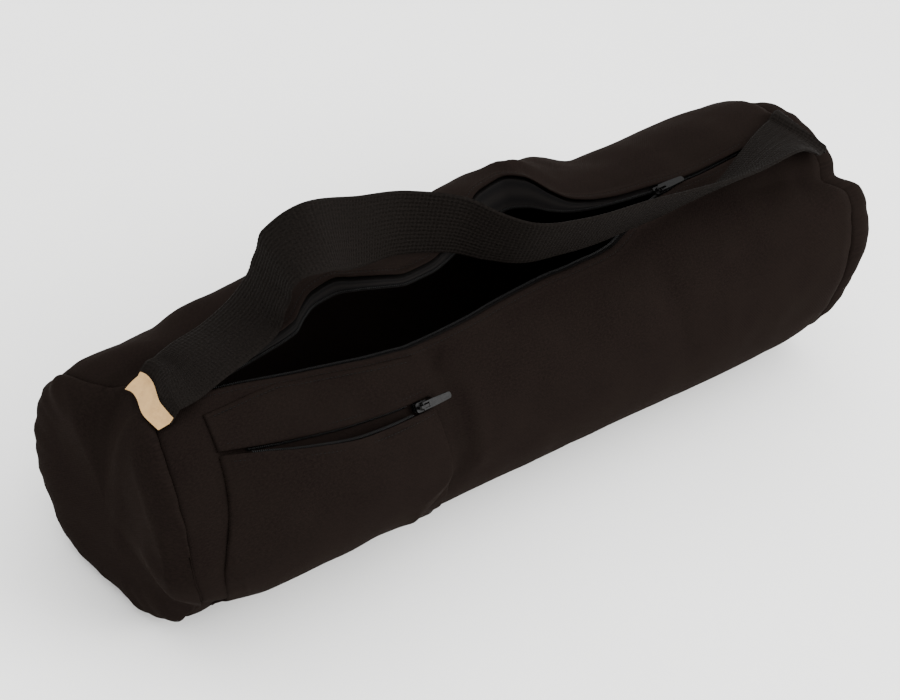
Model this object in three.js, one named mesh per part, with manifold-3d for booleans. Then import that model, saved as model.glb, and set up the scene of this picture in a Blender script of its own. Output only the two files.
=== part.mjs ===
// Yoga mat bag: a round canvas bag lying on its side, part unzipped, with a webbing strap along its top.
// Millimetres, +Z up. X runs along the bag, the pocket is on its -Y side, and it lies on the plane z = 0.
import * as THREE from 'three';
import { mergeVertices } from 'three/addons/utils/BufferGeometryUtils.js';
import Module from 'manifold-3d';

const wasm = await Module();
wasm.setup();

// Body of the bag
const TUBE_LENGTH = 624; // from end seam to end seam
const TUBE_RADIUS = 98; // half the width of the filled bag
const CLOTH = 2; // canvas wall
const PRESSED = 0.07; // share of the half height that is pressed flat underneath
const FLOOR_ROUND = 4; // how softly the pressed underside runs into the sides
const END_DOME = 13; // how far an end panel stands out from its seam

// Gaps between pieces
const SEAM_GAP = 0.3; // between panels sewn edge to edge
const LAY_GAP = 0.5; // between the cloth and what lies on it
const PATCH_GAP = 0.97; // between the bag and the pocket sewn on it
const RUN_GAP = 0.3; // between hard pieces that move on each other
const TURN_ROOM = 0.25; // more of it for the pull's square bar to turn in the bail

// Strap and label
const STRAP_WIDTH = 50;
const STRAP_THICK = 2.5;
const LABEL_WIDTH = 48;
const LABEL_DEEP = 14;
const LABEL_THICK = 0.8;
const LABEL_OVERLAP = 4; // of the label over the strap
const LABEL_LEAN = 0.32; // its fall for each millimetre past the strap's end
const LABEL_TAPER = 0.1; // share of its width lost at its hanging edge

// Zips
const TAPE_WIDTH = 14;
const TAPE_THICK = 1;
const COIL_WIDTH = 2.2; // across the coil of one tape
const COIL_STEP_OUT = 3.2; // from the cloth's edge to the middle of the coil
const SLIDER_LENGTH = 10;
const SLIDER_WIDTH = 7;
const SLIDER_PLATE = 1.2;
const BAIL_WIDTH = 2;
const BAIL_LENGTH = 8.2;
const BAIL_THICK = 1.2;
const PULL_LENGTH = 24;
const PULL_WIDTH = 5.8;
const PULL_THICK = 1.2;
const EYE_LENGTH = 4.3; // the pull's opening, which goes round the bail
const PULL_ARM = 1.2;
const WEDGE_WIDTH = 1.6;
const WEDGE_LENGTH = 3.4;
const SLIDER_AT = 0.2436; // share of the tube's length

// Pocket
const PATCH_CLOTH = 1.5; // canvas of the pocket's two panels
const POCKET_DEEP = 13; // how far the pocket's lower lip stands off the bag
const POCKET_TAPE = 8; // width of the pocket's zip tape
const POCKET_STEP_OUT = 0.6; // from a lip to the middle of its coil
const STRIP_LIFT = 3.6; // how far the strip's lip stands off to cover the zip

// Fineness of the faces
const RING_STEPS = 40;
const LONGEST_COLUMN = 0.05; // share of the tube's length

// Cross-sections, left end to right end: half width and half height as shares of TUBE_RADIUS
const SECTIONS = [
  { at: -0.5, wide: 0.975, tall: 0.885 },
  { at: -0.475, wide: 1.01, tall: 0.915 },
  { at: -0.36, wide: 1.02, tall: 0.94 },
  { at: -0.15, wide: 1.015, tall: 0.97 },
  { at: 0.05, wide: 1.01, tall: 1.0 },
  { at: 0.25, wide: 1.01, tall: 1.045 },
  { at: 0.42, wide: 1.005, tall: 1.06 },
  { at: 0.475, wide: 0.985, tall: 1.05 },
  { at: 0.5, wide: 0.93, tall: 1.0 },
];

// The zip's slot along the tube: the angles of its front and back edges (0 front, 90 top, 180 back),
// and how far the back edge is lifted off the round, as a share of TUBE_RADIUS
const SLOT = [
  { at: -0.449, front: 83.0, back: 83.0, lift: 0 },
  { at: -0.441, front: 81.8, back: 84.2, lift: 0 },
  { at: -0.385, front: 77.0, back: 86.0, lift: 0.01 },
  { at: -0.33, front: 72.0, back: 88.5, lift: 0.03 },
  { at: -0.285, front: 68.5, back: 91.5, lift: 0.05 },
  { at: -0.262, front: 66.8, back: 97.0, lift: 0.06 },
  { at: -0.235, front: 64.8, back: 102.0, lift: 0.07 },
  { at: -0.205, front: 63.2, back: 103.5, lift: 0.08 },
  { at: -0.18, front: 62.0, back: 100.5, lift: 0.06 },
  { at: -0.15, front: 62.0, back: 95.5, lift: 0.05 },
  { at: -0.125, front: 62.2, back: 92.5, lift: 0.04 },
  { at: -0.09, front: 62.8, back: 93.0, lift: 0.045 },
  { at: -0.05, front: 64.2, back: 97.0, lift: 0.09 },
  { at: -0.008, front: 65.2, back: 104.5, lift: 0.165 },
  { at: 0.032, front: 65.7, back: 111.0, lift: 0.215 },
  { at: 0.067, front: 65.2, back: 112.5, lift: 0.225 },
  { at: 0.09, front: 65.2, back: 106.5, lift: 0.2 },
  { at: 0.106, front: 65.0, back: 98.0, lift: 0.13 },
  { at: 0.128, front: 65.5, back: 92.5, lift: 0.06 },
  { at: 0.162, front: 69.0, back: 88.5, lift: 0.02 },
  { at: 0.2, front: 74.5, back: 86.0, lift: 0 },
  { at: 0.236, front: 77.7, back: 84.3, lift: 0 },
  { at: 0.252, front: 78.3, back: 83.5, lift: 0 },
  { at: 0.275, front: 79.9, back: 82.1, lift: 0 },
  { at: 0.393, front: 80.0, back: 82.0, lift: 0 },
  { at: 0.401, front: 81.0, back: 81.0, lift: 0 },
];
const LIP_HELD = 14; // degrees behind the back edge over which the lift is whole
const LIP_FADE = 58; // degrees over which it dies away

// Broad folds and dents, each along a line between two places on the tube: angle as above,
// height (a dent's is negative) and reach to each side as shares of TUBE_RADIUS
const FOLDS = [
  { name: 'dent behind the label', at: -0.5, angle: 112, toAt: -0.462, toAngle: 106, high: -0.085, reach: 0.2 },
  { name: 'crumpled lower corner', at: -0.5, angle: -24, toAt: -0.44, toAngle: -34, high: -0.11, reach: 0.2 },
  { name: 'hollow right of the pocket', at: -0.163, angle: 56, toAt: -0.148, toAngle: 6, high: -0.035, reach: 0.1 },
  { name: 'roll right of the pocket', at: -0.128, angle: 36, toAt: -0.12, toAngle: 2, high: 0.022, reach: 0.1 },
  { name: 'sag at the middle', at: 0.165, angle: 62, toAt: 0.225, toAngle: -4, high: -0.022, reach: 0.2 },
  { name: 'dip behind the slider', at: 0.235, angle: 118, toAt: 0.2, toAngle: 150, high: -0.035, reach: 0.24 },
  { name: 'tuck at the right seam', at: 0.5, angle: 52, toAt: 0.45, toAngle: 57, high: -0.05, reach: 0.14 },
  { name: 'hollow before the right strap end', at: 0.39, angle: 62, toAt: 0.45, toAngle: 66, high: -0.03, reach: 0.16 },
];

// The strap's middle line from the left seam to the right one: x as a share of TUBE_LENGTH, y and height over
// where it would lie on the round bag as shares of TUBE_RADIUS, roll of its width (90 lies flat, 0 stands
// on edge, -90 lies flat turned over), and cup, the share of the tube's roundness that its section takes
const STRAP = [
  { at: -0.4968, y: -0.06, over: 0.016, roll: 87.5, cup: 0.9 },
  { at: -0.484, y: -0.04, over: 0.074, roll: 89, cup: 0.7 },
  { at: -0.468, y: -0.02, over: 0.049, roll: 89.5, cup: 0.8 },
  { at: -0.445, y: 0.015, over: 0.018, roll: 91, cup: 0.9 },
  { at: -0.4, y: 0.08, over: 0.022, roll: 94.5, cup: 0.9 },
  { at: -0.36, y: 0.13, over: 0.04, roll: 97, cup: 0.9 },
  { at: -0.325, y: 0.16, over: 0.135, roll: 97, cup: 0.6 },
  { at: -0.311, y: 0.16, over: 0.36, roll: 94, cup: 0.2 },
  { at: -0.301, y: 0.15, over: 0.58, roll: 82, cup: 0 },
  { at: -0.264, y: 0.11, over: 0.66, roll: 56, cup: 0 },
  { at: -0.194, y: 0.17, over: 0.49, roll: 27, cup: 0 },
  { at: -0.121, y: 0.2, over: 0.365, roll: 9, cup: 0 },
  { at: -0.064, y: 0.04, over: 0.3, roll: 3, cup: 0 },
  { at: -0.03, y: -0.14, over: 0.24, roll: -7, cup: 0 },
  { at: 0.006, y: -0.3, over: 0.24, roll: -15, cup: 0 },
  { at: 0.061, y: -0.4, over: 0.27, roll: -19, cup: 0 },
  { at: 0.136, y: -0.47, over: 0.305, roll: -23, cup: 0 },
  { at: 0.221, y: -0.5, over: 0.285, roll: -31, cup: 0 },
  { at: 0.303, y: -0.5, over: 0.265, roll: -42, cup: 0 },
  { at: 0.385, y: -0.4, over: 0.23, roll: -62, cup: 0.2 },
  { at: 0.442, y: -0.3, over: 0.11, roll: -86, cup: 0.6 },
  { at: 0.47, y: -0.25, over: 0.055, roll: -97, cup: 0.9 },
  { at: 0.484, y: -0.22, over: 0.09, roll: -101, cup: 0.9 },
  { at: 0.4968, y: -0.2, over: 0.045, roll: -102, cup: 1 },
];
const STRAP_STEPS = 56;
const STRAP_ACROSS = 4;
const LABEL_ROWS = 4;
const LABEL_ACROSS = 6;

// Pocket outline by angle: its left and right edges as shares of TUBE_LENGTH
const POCKET_SIDES = [
  { at: -36, left: -0.47, right: -0.152 },
  { at: -5, left: -0.468, right: -0.158 },
  { at: 15, left: -0.462, right: -0.166 },
  { at: 36, left: -0.452, right: -0.178 },
  { at: 54, left: -0.447, right: -0.181 },
  { at: 80, left: -0.443, right: -0.184 },
];
const POCKET_FOOT = -36; // angle of the pocket's lower seam
// The pocket's mouth, left side to right side: the angles of its two lips
const MOUTH = [
  { at: 0, upper: 55.2, lower: 53.6 },
  { at: 0.15, upper: 51.3, lower: 48.6 },
  { at: 0.35, upper: 47.4, lower: 43.0 },
  { at: 0.6, upper: 43.6, lower: 38.4 },
  { at: 0.87, upper: 41.6, lower: 36.9 },
  { at: 0.97, upper: 41.4, lower: 36.7 },
  { at: 1, upper: 39.4, lower: 37.9 },
];
const STRIP_MARGIN = 3; // degrees between the main zip's edge and the strip below it
const STRIP_TOP = 71; // the strip's highest angle, short of the strap
const TAPE_FROM = 0.12; // the shares of the mouth that its tapes run between
const TAPE_TO = 0.86;
const POCKET_SLIDER = 0.918; // the slider's share across the pocket
const POCKET_COLUMNS = 13;
const PANEL_ROWS = 9;
const STRIP_ROWS = 4;

const radians = THREE.MathUtils.degToRad;
const degrees = THREE.MathUtils.radToDeg;
const clamp = THREE.MathUtils.clamp;
const lerp = THREE.MathUtils.lerp;
const degreesOfArc = (length) => degrees(length / TUBE_RADIUS);

// A table's column at any place between its rows, on a smooth curve that never overshoots a row
function read(table, column, at) {
  const last = table.length - 1;
  let i = 0;
  while (i < last - 1 && at > table[i + 1].at) i += 1;
  const slope = (j) => (table[j + 1][column] - table[j][column]) / (table[j + 1].at - table[j].at);
  const tangent = (j) => {
    if (j === 0) return slope(0);
    if (j === last) return slope(last - 1);
    const before = slope(j - 1);
    const after = slope(j);
    return before * after <= 0 ? 0 : (2 * before * after) / (before + after);
  };
  const step = table[i + 1].at - table[i].at;
  const t = clamp((at - table[i].at) / step, 0, 1);
  const rise = table[i + 1][column] - table[i][column];
  const ease = t * t * (3 - 2 * t);
  return table[i][column] + rise * ease
    + step * (tangent(i) * t * (1 - t) * (1 - t) - tangent(i + 1) * t * t * (1 - t));
}

const smoothFall = (t) => {
  const s = clamp(t, 0, 1);
  return 1 - s * s * (3 - 2 * s);
};

// An angle brought within half a turn of another
const near = (angle, other) => angle - 360 * Math.round((angle - other) / 360);

// How far the cloth stands off the plain round at a place
function relief(at, angle) {
  const back = read(SLOT, 'back', clamp(at, SLOT[0].at, SLOT.at(-1).at));
  const lift = at > SLOT[0].at && at < SLOT.at(-1).at ? read(SLOT, 'lift', at) : 0;
  const behind = near(angle, back + 90) - back;
  const fade = behind < -1 ? 0 : smoothFall((behind - LIP_HELD) / LIP_FADE);
  let out = lift * fade;
  for (const fold of FOLDS) {
    const alongX = (fold.toAt - fold.at) * TUBE_LENGTH;
    const around = radians(fold.toAngle - fold.angle) * TUBE_RADIUS;
    const dx = (at - fold.at) * TUBE_LENGTH;
    const ds = radians(near(angle, fold.angle) - fold.angle) * TUBE_RADIUS;
    const t = clamp((dx * alongX + ds * around) / (alongX * alongX + around * around), 0, 1);
    const away = Math.hypot(dx - t * alongX, ds - t * around) / (fold.reach * TUBE_RADIUS);
    out += fold.high * Math.exp(-away * away);
  }
  return out * TUBE_RADIUS;
}

// Height above a floor, with a soft turn where the cloth meets it
function settle(height) {
  if (height >= FLOOR_ROUND) return height;
  if (height <= -FLOOR_ROUND) return 0;
  return (height + FLOOR_ROUND) ** 2 / (4 * FLOOR_ROUND);
}

// A point of the tube at a share along it and an angle, so deep under the cloth's outside
function tubePoint(at, angle, depth = 0) {
  const halfWide = read(SECTIONS, 'wide', at) * TUBE_RADIUS;
  const halfTall = read(SECTIONS, 'tall', at) * TUBE_RADIUS;
  const cos = Math.cos(radians(angle));
  const sin = Math.sin(radians(angle));
  const normal = new THREE.Vector2(cos / halfWide, sin / halfTall).normalize();
  const out = relief(at, angle) - depth;
  const floor = Math.max(0, depth);
  const height = (1 - PRESSED) * halfTall + halfTall * sin + normal.y * out;
  return new THREE.Vector3(at * TUBE_LENGTH, -(halfWide * cos + normal.x * out), floor + settle(height - floor));
}

// A closed solid between two matching grids of points, one on each side of the cloth.
// Rows that are joined meet themselves, so they have no side edge.
function clothSolid(outer, inner, joined = () => false) {
  const rows = outer.length;
  const points = outer[0].length;
  const positions = [...outer, ...inner].flatMap((row) => row.flatMap((p) => [p.x, p.y, p.z]));
  const out = (i, j) => i * points + j;
  const inn = (i, j) => (rows + i) * points + j;
  const index = [];
  const quad = (a, b, c, d) => index.push(a, b, c, a, c, d);
  for (let i = 0; i < rows - 1; i += 1) {
    for (let j = 0; j < points - 1; j += 1) {
      quad(out(i, j), out(i + 1, j), out(i + 1, j + 1), out(i, j + 1));
      quad(inn(i, j), inn(i, j + 1), inn(i + 1, j + 1), inn(i + 1, j));
    }
    if (!(joined(i) && joined(i + 1))) {
      const end = points - 1;
      quad(out(i, 0), inn(i, 0), inn(i + 1, 0), out(i + 1, 0));
      quad(out(i, end), out(i + 1, end), inn(i + 1, end), inn(i, end));
    }
  }
  for (let j = 0; j < points - 1; j += 1) {
    const end = rows - 1;
    quad(out(0, j), out(0, j + 1), inn(0, j + 1), inn(0, j));
    quad(out(end, j), inn(end, j), inn(end, j + 1), out(end, j + 1));
  }
  return weld(positions, index);
}

// One closed mesh from points and triangles: points in one place become one, flat slivers go,
// and the faces point outwards
function weld(positions, index) {
  const raw = new THREE.BufferGeometry();
  raw.setAttribute('position', new THREE.Float32BufferAttribute(positions, 3));
  raw.setIndex(index);
  const merged = mergeVertices(raw, 1e-3);
  const old = merged.index.array;
  const kept = [];
  for (let t = 0; t < old.length; t += 3) {
    const [a, b, c] = [old[t], old[t + 1], old[t + 2]];
    if (a !== b && b !== c && c !== a) kept.push(a, b, c);
  }
  merged.setIndex(volume(merged, kept) < 0 ? kept.reverse() : kept);
  merged.computeVertexNormals();
  return merged;
}

// The volume that triangles close in, negative where they face inwards
function volume(geometry, index) {
  const corner = (k) => new THREE.Vector3().fromBufferAttribute(geometry.attributes.position, index[k]);
  let sum = 0;
  for (let t = 0; t < index.length; t += 3) sum += corner(t).dot(corner(t + 1).cross(corner(t + 2))) / 6;
  return sum;
}

// The shares along the tube at which its sections are made: the slot's rows, the ends and fillers
function tubeColumns() {
  const fixed = [-0.5, -0.49, -0.475, ...SLOT.map((row) => row.at), -0.165, 0.43, 0.455, 0.475, 0.49, 0.5];
  fixed.sort((a, b) => a - b);
  const columns = [fixed[0]];
  for (const at of fixed.slice(1)) {
    const from = columns.at(-1);
    const parts = Math.ceil((at - from) / LONGEST_COLUMN);
    for (let k = 1; k <= parts; k += 1) columns.push(from + ((at - from) * k) / parts);
  }
  return columns;
}

const COLUMNS = tubeColumns();
const slotOpen = (at) => at > SLOT[0].at + 1e-6 && at < SLOT.at(-1).at - 1e-6;

// The angles of the slot's edges; where there is no slot both are its middle
function slotEdges(at) {
  const inside = clamp(at, SLOT[0].at, SLOT.at(-1).at);
  return { front: read(SLOT, 'front', inside), back: read(SLOT, 'back', inside) };
}

// Angles round the tube from the slot's front edge, under the bag, to its back edge
function ringAngles(at) {
  const { front, back } = slotEdges(at);
  const turn = 360 - (back - front);
  return Array.from({ length: RING_STEPS + 1 }, (_, j) => front - (turn * j) / RING_STEPS);
}

function bodyShell() {
  const wall = (depth) => COLUMNS.map((at) => ringAngles(at).map((angle) => tubePoint(at, angle, depth)));
  return clothSolid(wall(0), wall(CLOTH), (i) => !slotOpen(COLUMNS[i]));
}

// An end panel: rings from the seam to the middle, as shares of the section, and how far each stands out,
// as a share of END_DOME
const END_RINGS = [
  { share: 1, out: 0 },
  { share: 0.985, out: 0.45 },
  { share: 0.93, out: 0.8 },
  { share: 0.8, out: 1 },
  { share: 0.42, out: 0.8 },
  { share: 0, out: 0.7 },
];

function endPanel(side) {
  const at = 0.5 * side;
  const rim = ringAngles(at).map((angle) => tubePoint(at, angle));
  const middle = new THREE.Vector3(at * TUBE_LENGTH, 0, (rim[0].z + settle(0)) / 2);
  const face = (thick) => END_RINGS.map(({ share, out }) => rim.map((p) => {
    const q = middle.clone().lerp(p, share * (1 - thick / TUBE_RADIUS));
    q.x += side * (SEAM_GAP + CLOTH + out * END_DOME - thick);
    return q;
  }));
  return clothSolid(face(0), face(CLOTH), () => true);
}

// Height of the plain round tube's top at a place seen from above
function roundTop(at, y) {
  const halfWide = read(SECTIONS, 'wide', at) * TUBE_RADIUS;
  const halfTall = read(SECTIONS, 'tall', at) * TUBE_RADIUS;
  return halfTall * (1 - PRESSED + Math.sqrt(1 - (y / halfWide) ** 2));
}

// The strap's route and the direction of its width at a share of its length
const strapCurve = new THREE.CatmullRomCurve3(STRAP.map((row) => {
  const height = roundTop(row.at, row.y * TUBE_RADIUS) + LAY_GAP + STRAP_THICK / 2 + row.over * TUBE_RADIUS;
  return new THREE.Vector3(row.at * TUBE_LENGTH, row.y * TUBE_RADIUS, height);
}), false, 'centripetal');

function strapFrame(t) {
  const place = clamp(t, 0, 1) * (STRAP.length - 1);
  const k = Math.min(Math.floor(place), STRAP.length - 2);
  const mix = place - k;
  const point = strapCurve.getPoint(t);
  const tangent = strapCurve.getTangent(t);
  const level = new THREE.Vector3(0, 0, 1).cross(tangent).normalize();
  const upright = tangent.clone().cross(level);
  const roll = radians(lerp(STRAP[k].roll, STRAP[k + 1].roll, mix));
  const across = upright.multiplyScalar(Math.cos(roll)).add(level.multiplyScalar(Math.sin(roll)));
  const face = tangent.clone().cross(across);
  return { point, across, face, cup: lerp(STRAP[k].cup, STRAP[k + 1].cup, mix), rolled: Math.sign(face.z) || 1 };
}

function strap() {
  const side = (offset) => Array.from({ length: STRAP_STEPS + 1 }, (_, i) => {
    const { point, across, face, cup, rolled } = strapFrame(i / STRAP_STEPS);
    return Array.from({ length: STRAP_ACROSS + 1 }, (_, j) => {
      const w = (j / STRAP_ACROSS - 0.5) * STRAP_WIDTH;
      const drop = (cup * rolled * w * w) / (2 * TUBE_RADIUS);
      return point.clone().addScaledVector(across, w).addScaledVector(face, offset - drop);
    });
  });
  return clothSolid(side(STRAP_THICK / 2), side(-STRAP_THICK / 2));
}

// The label over the strap's left end, bent with it and hanging over the end seam
function label() {
  const strapLength = strapCurve.getLength();
  const face = (lift) => Array.from({ length: LABEL_ROWS + 1 }, (_, i) => {
    const down = i / LABEL_ROWS;
    const past = down * LABEL_DEEP - LABEL_OVERLAP;
    const { point, across, face: up } = strapFrame(Math.max(0, -past) / strapLength);
    const width = LABEL_WIDTH * (1 - LABEL_TAPER * down * down);
    return Array.from({ length: LABEL_ACROSS + 1 }, (_, j) => {
      const w = (j / LABEL_ACROSS - 0.5) * width;
      const q = point.clone().addScaledVector(across, w);
      q.addScaledVector(up, STRAP_THICK / 2 + LAY_GAP + lift - (w * w) / (2 * TUBE_RADIUS));
      q.x -= Math.max(0, past);
      q.z -= LABEL_LEAN * Math.max(0, past);
      return q;
    });
  });
  return clothSolid(face(0), face(LABEL_THICK));
}

// A zip tape with its coil: points across it from the hidden edge to the coil's far side,
// as steps back from the coil's middle and half thicknesses
function tapeProfile(width) {
  return [
    { step: width, half: TAPE_THICK / 2 },
    { step: width / 2, half: TAPE_THICK / 2 },
    { step: COIL_WIDTH / 2, half: TAPE_THICK / 2 },
    { step: 0, half: COIL_WIDTH / 2 },
    { step: -COIL_WIDTH / 2, half: TAPE_THICK / 2 },
  ];
}

const TAPE_DEPTH = CLOTH + LAY_GAP + COIL_WIDTH / 2;

// The angle of a coil's middle: out from the cloth's edge, or beside the other coil where the zip is closed
function coilAngle(at, towardsBack) {
  const { front, back } = slotEdges(at);
  const middle = (front + back) / 2;
  const closed = degreesOfArc((COIL_WIDTH + SEAM_GAP) / 2);
  const stepOut = degreesOfArc(COIL_STEP_OUT);
  return towardsBack ? Math.max(back - stepOut, middle + closed) : Math.min(front + stepOut, middle - closed);
}

function zipTape(towardsBack) {
  const sign = towardsBack ? 1 : -1;
  const run = COLUMNS.filter(slotOpen);
  const face = (up) => run.map((at) => tapeProfile(TAPE_WIDTH).map(({ step, half }) => {
    const angle = coilAngle(at, towardsBack) + sign * degreesOfArc(step);
    return tubePoint(at, angle, TAPE_DEPTH - up * half);
  }));
  return clothSolid(face(1), face(-1));
}

// A place in the pocket: share across it and angle, so far off the bag
function pocketPoint(across, angle, off) {
  const left = read(POCKET_SIDES, 'left', angle);
  const right = read(POCKET_SIDES, 'right', angle);
  return tubePoint(lerp(left, right, across), angle, -off);
}

// How far the pocket's front stands off the bag: nothing at its sewn edges, most at the mouth
function pocketBulge(across, angle) {
  const top = read(MOUTH, 'lower', across);
  const down = clamp((top - angle) / (top - POCKET_FOOT), 0, 1);
  const sides = Math.sin(Math.PI * across) ** 0.7;
  return POCKET_DEEP * sides * (1 - down * down) ** 1.5;
}

const pocketShares = Array.from({ length: POCKET_COLUMNS }, (_, i) => i / (POCKET_COLUMNS - 1));

function pocketPanel() {
  const face = (thick) => pocketShares.map((across) => Array.from({ length: PANEL_ROWS }, (_, j) => {
    const angle = lerp(read(MOUTH, 'lower', across), POCKET_FOOT, j / (PANEL_ROWS - 1));
    return pocketPoint(across, angle, PATCH_GAP + pocketBulge(across, angle) + thick);
  }));
  return clothSolid(face(0), face(PATCH_CLOTH));
}

// How far the strip above the mouth stands off: nothing at its top and sides, most at its lip
const stripLift = (across, down) => STRIP_LIFT * Math.sin(Math.PI * across) ** 0.4 * down * down;

// The strip between the main zip and the pocket's mouth
function pocketStrip() {
  const face = (thick) => pocketShares.map((across) => {
    const lip = read(MOUTH, 'upper', across);
    const at = lerp(read(POCKET_SIDES, 'left', lip), read(POCKET_SIDES, 'right', lip), across);
    const top = Math.min(STRIP_TOP, slotEdges(at).front - STRIP_MARGIN);
    return Array.from({ length: STRIP_ROWS }, (_, j) => {
      const down = j / (STRIP_ROWS - 1);
      return pocketPoint(across, lerp(top, lip, down), PATCH_GAP + stripLift(across, down) + thick);
    });
  });
  return clothSolid(face(0), face(PATCH_CLOTH));
}

// A tape of the pocket's zip, along one lip of the mouth and behind its cloth
function pocketTape(isUpper) {
  const sign = isUpper ? -1 : 1;
  const lip = isUpper ? 'upper' : 'lower';
  const shares = pocketShares.filter((across) => across > TAPE_FROM && across < TAPE_TO);
  const face = (up) => shares.map((across) => {
    const edge = read(MOUTH, lip, across);
    const behind = PATCH_GAP - SEAM_GAP - COIL_WIDTH / 2 + pocketBulge(across, edge);
    const off = isUpper ? LAY_GAP + COIL_WIDTH / 2 : behind;
    return tapeProfile(POCKET_TAPE).map(({ step, half }) => (
      pocketPoint(across, edge + sign * degreesOfArc(POCKET_STEP_OUT - step), off + up * half)));
  });
  return clothSolid(face(1), face(-1));
}

// A closed three.js shape as a solid that can be joined
function solidOf(geometry) {
  const bare = geometry.clone();
  bare.deleteAttribute('normal');
  bare.deleteAttribute('uv');
  const merged = mergeVertices(bare, 1e-4);
  return new wasm.Manifold(new wasm.Mesh({
    numProp: 3,
    vertProperties: new Float32Array(merged.attributes.position.array),
    triVerts: new Uint32Array(merged.index.array),
  }));
}

function joined(geometries) {
  const mesh = geometries.map(solidOf).reduce((whole, next) => whole.add(next)).getMesh();
  const result = new THREE.BufferGeometry();
  result.setAttribute('position', new THREE.Float32BufferAttribute(mesh.vertProperties, 3));
  result.setIndex(Array.from(mesh.triVerts));
  result.computeVertexNormals();
  return result;
}

// A flat plate of an outline drawn in x and y, from one height up to another
function plate(outline, low, high) {
  const geometry = new THREE.ExtrudeGeometry(outline, { depth: high - low, bevelEnabled: false, curveSegments: 4 });
  return geometry.translate(0, 0, low);
}

function roundedOutline(x0, x1, halfWidth, corner) {
  const shape = new THREE.Shape();
  shape.moveTo(x0 + corner, -halfWidth);
  shape.lineTo(x1 - corner, -halfWidth);
  shape.quadraticCurveTo(x1, -halfWidth, x1, corner - halfWidth);
  shape.lineTo(x1, halfWidth - corner);
  shape.quadraticCurveTo(x1, halfWidth, x1 - corner, halfWidth);
  shape.lineTo(x0 + corner, halfWidth);
  shape.quadraticCurveTo(x0, halfWidth, x0, halfWidth - corner);
  shape.lineTo(x0, corner - halfWidth);
  shape.quadraticCurveTo(x0, -halfWidth, x0 + corner, -halfWidth);
  return shape;
}

// Heights over the coils' middle
const PLATE_LOW = COIL_WIDTH / 2 + RUN_GAP;
const PLATE_HIGH = PLATE_LOW + SLIDER_PLATE;
const PULL_AXIS = TAPE_DEPTH + RUN_GAP + PULL_THICK / 2; // the pull lies just over the cloth
const BAIL_INSIDE = PULL_AXIS + PULL_THICK / 2 + RUN_GAP + TURN_ROOM;
const BAIL_HIGH = BAIL_INSIDE + BAIL_THICK;

// A slider: two plates over and under the coils, the wedge that parts them, and the bail over the top.
// The wedge is at its -X end, where the zip is open.
function slider() {
  const end = SLIDER_LENGTH / 2;
  const inset = 0.4; // of the wedge from the end, and of the lower plate from the upper one's sides
  const corner = 2;
  const chamfer = 1;
  const sink = 0.2; // how far the wedge runs into both plates
  const wedge = new THREE.Shape();
  wedge.moveTo(inset - end, -WEDGE_WIDTH / 2);
  wedge.lineTo(WEDGE_LENGTH - end, 0);
  wedge.lineTo(inset - end, WEDGE_WIDTH / 2);
  const arch = new THREE.Shape();
  const foot = BAIL_LENGTH / 2;
  const sunk = PLATE_HIGH - SLIDER_PLATE / 2;
  arch.moveTo(-foot, sunk);
  arch.lineTo(-foot, BAIL_HIGH - chamfer);
  arch.lineTo(chamfer - foot, BAIL_HIGH);
  arch.lineTo(foot - chamfer, BAIL_HIGH);
  arch.lineTo(foot, BAIL_HIGH - chamfer);
  arch.lineTo(foot, sunk);
  arch.lineTo(foot - BAIL_THICK, sunk);
  arch.lineTo(foot - BAIL_THICK, BAIL_INSIDE);
  arch.lineTo(BAIL_THICK - foot, BAIL_INSIDE);
  arch.lineTo(BAIL_THICK - foot, sunk);
  const bail = new THREE.ExtrudeGeometry(arch, { depth: BAIL_WIDTH, bevelEnabled: false });
  bail.translate(0, 0, -BAIL_WIDTH / 2).rotateX(Math.PI / 2);
  return joined([
    plate(roundedOutline(-end, end, SLIDER_WIDTH / 2, corner), PLATE_LOW, PLATE_HIGH),
    plate(roundedOutline(-end, end, SLIDER_WIDTH / 2 - inset, corner), -PLATE_HIGH, -PLATE_LOW),
    plate(wedge, -PLATE_LOW - sink, PLATE_LOW + sink),
    bail,
  ]);
}

// A pull, with its turning axis on the origin: the bar in the bail, two arms and the tab
function pull() {
  const half = PULL_WIDTH / 2;
  const bar = PULL_THICK / 2;
  const shoulder = PULL_LENGTH * 0.35; // where its sides begin to draw in
  const tip = half * 0.8;
  const tipRound = 2;
  const outline = new THREE.Shape();
  outline.moveTo(-bar, -half);
  outline.lineTo(shoulder, -half);
  outline.lineTo(PULL_LENGTH - tipRound, -tip);
  outline.quadraticCurveTo(PULL_LENGTH, -tip, PULL_LENGTH, 0);
  outline.quadraticCurveTo(PULL_LENGTH, tip, PULL_LENGTH - tipRound, tip);
  outline.lineTo(shoulder, half);
  outline.lineTo(-bar, half);
  const eye = new THREE.Path();
  eye.moveTo(bar, PULL_ARM - half);
  eye.lineTo(bar, half - PULL_ARM);
  eye.lineTo(bar + EYE_LENGTH, half - PULL_ARM);
  eye.lineTo(bar + EYE_LENGTH, PULL_ARM - half);
  outline.holes.push(eye);
  return joined([plate(outline, -bar, bar)]);
}

// One material for each finish
const finish = (color, roughness, metalness = 0) => new THREE.MeshStandardMaterial({ color, roughness, metalness });
const canvas = finish('#1f1b1a', 0.9);
const webbing = finish('#191818', 0.88);
const cream = finish('#d9d0b4', 0.85);
const tapeCloth = finish('#141414', 0.8);
const blackMetal = finish('#101010', 0.4, 0.6);

const bag = new THREE.Group();
const add = (name, geometry, material, group = bag) => {
  const mesh = new THREE.Mesh(geometry, material);
  mesh.name = name;
  group.add(mesh);
  return mesh;
};

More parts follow.
